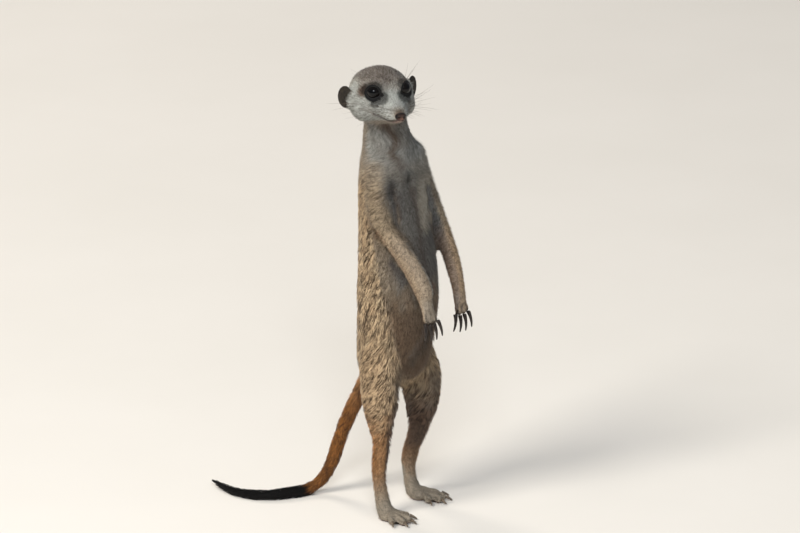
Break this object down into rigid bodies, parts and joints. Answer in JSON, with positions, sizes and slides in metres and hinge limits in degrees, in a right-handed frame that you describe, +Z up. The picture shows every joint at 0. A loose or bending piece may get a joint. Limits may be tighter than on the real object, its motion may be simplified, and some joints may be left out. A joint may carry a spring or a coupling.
{
  "type": "meerkat",
  "caption": "Life-size still model of a meerkat standing upright on its hind feet, arms hanging, tail laid back on the floor as a prop, head turned to its right.",
  "frame": {"origin": "on the floor, at the bottom centre of the whole animal's box", "axes": "+Z up, -Y the way the feet face, +X the animal's left"},
  "size_m": [0.1066, 0.1844, 0.3402],
  "materials": {
    "coat_back": "short banded fur",
    "coat_belly": "thin fur over grey skin",
    "coat_face": "very short fur",
    "coat_leg": "short banded fur",
    "coat_paw": "very short fur",
    "coat_tail": "short fur",
    "coat_tail_tip": "short fur",
    "ear": "dark skin with very short fur",
    "eye": "wet and glossy",
    "nose": "moist grained skin",
    "claw": "polished horn"
  },
  "bodies": {
    "root": {"hips": "coat_leg", "belly": "coat_belly", "chest": "coat_back", "neck": "coat_face", "head": "coat_face", "nose": "nose", "eye_right": "eye", "ear_right": "ear", "eye_left": "eye", "ear_left": "ear", "tail_root": "coat_tail", "tail_bend": "coat_tail", "tail_middle": "coat_tail_tip", "tail_tip": "coat_tail_tip", "upper_arm_right": "coat_back", "forearm_right": "coat_leg", "hand_right": "coat_paw", "hand_claw_right_1": "claw", "hand_claw_right_2": "claw", "hand_claw_right_3": "claw", "hand_claw_right_4": "claw", "upper_arm_left": "coat_back", "forearm_left": "coat_leg", "hand_left": "coat_paw", "hand_claw_left_1": "claw", "hand_claw_left_2": "claw", "hand_claw_left_3": "claw", "hand_claw_left_4": "claw", "thigh_right": "coat_leg", "shank_right": "coat_leg", "foot_right": "coat_paw", "foot_claw_right_1": "claw", "foot_claw_right_2": "claw", "foot_claw_right_3": "claw", "foot_claw_right_4": "claw", "thigh_left": "coat_leg", "shank_left": "coat_leg", "foot_left": "coat_paw", "foot_claw_left_1": "claw", "foot_claw_left_2": "claw", "foot_claw_left_3": "claw", "foot_claw_left_4": "claw"}
  },
  "joints": []
}
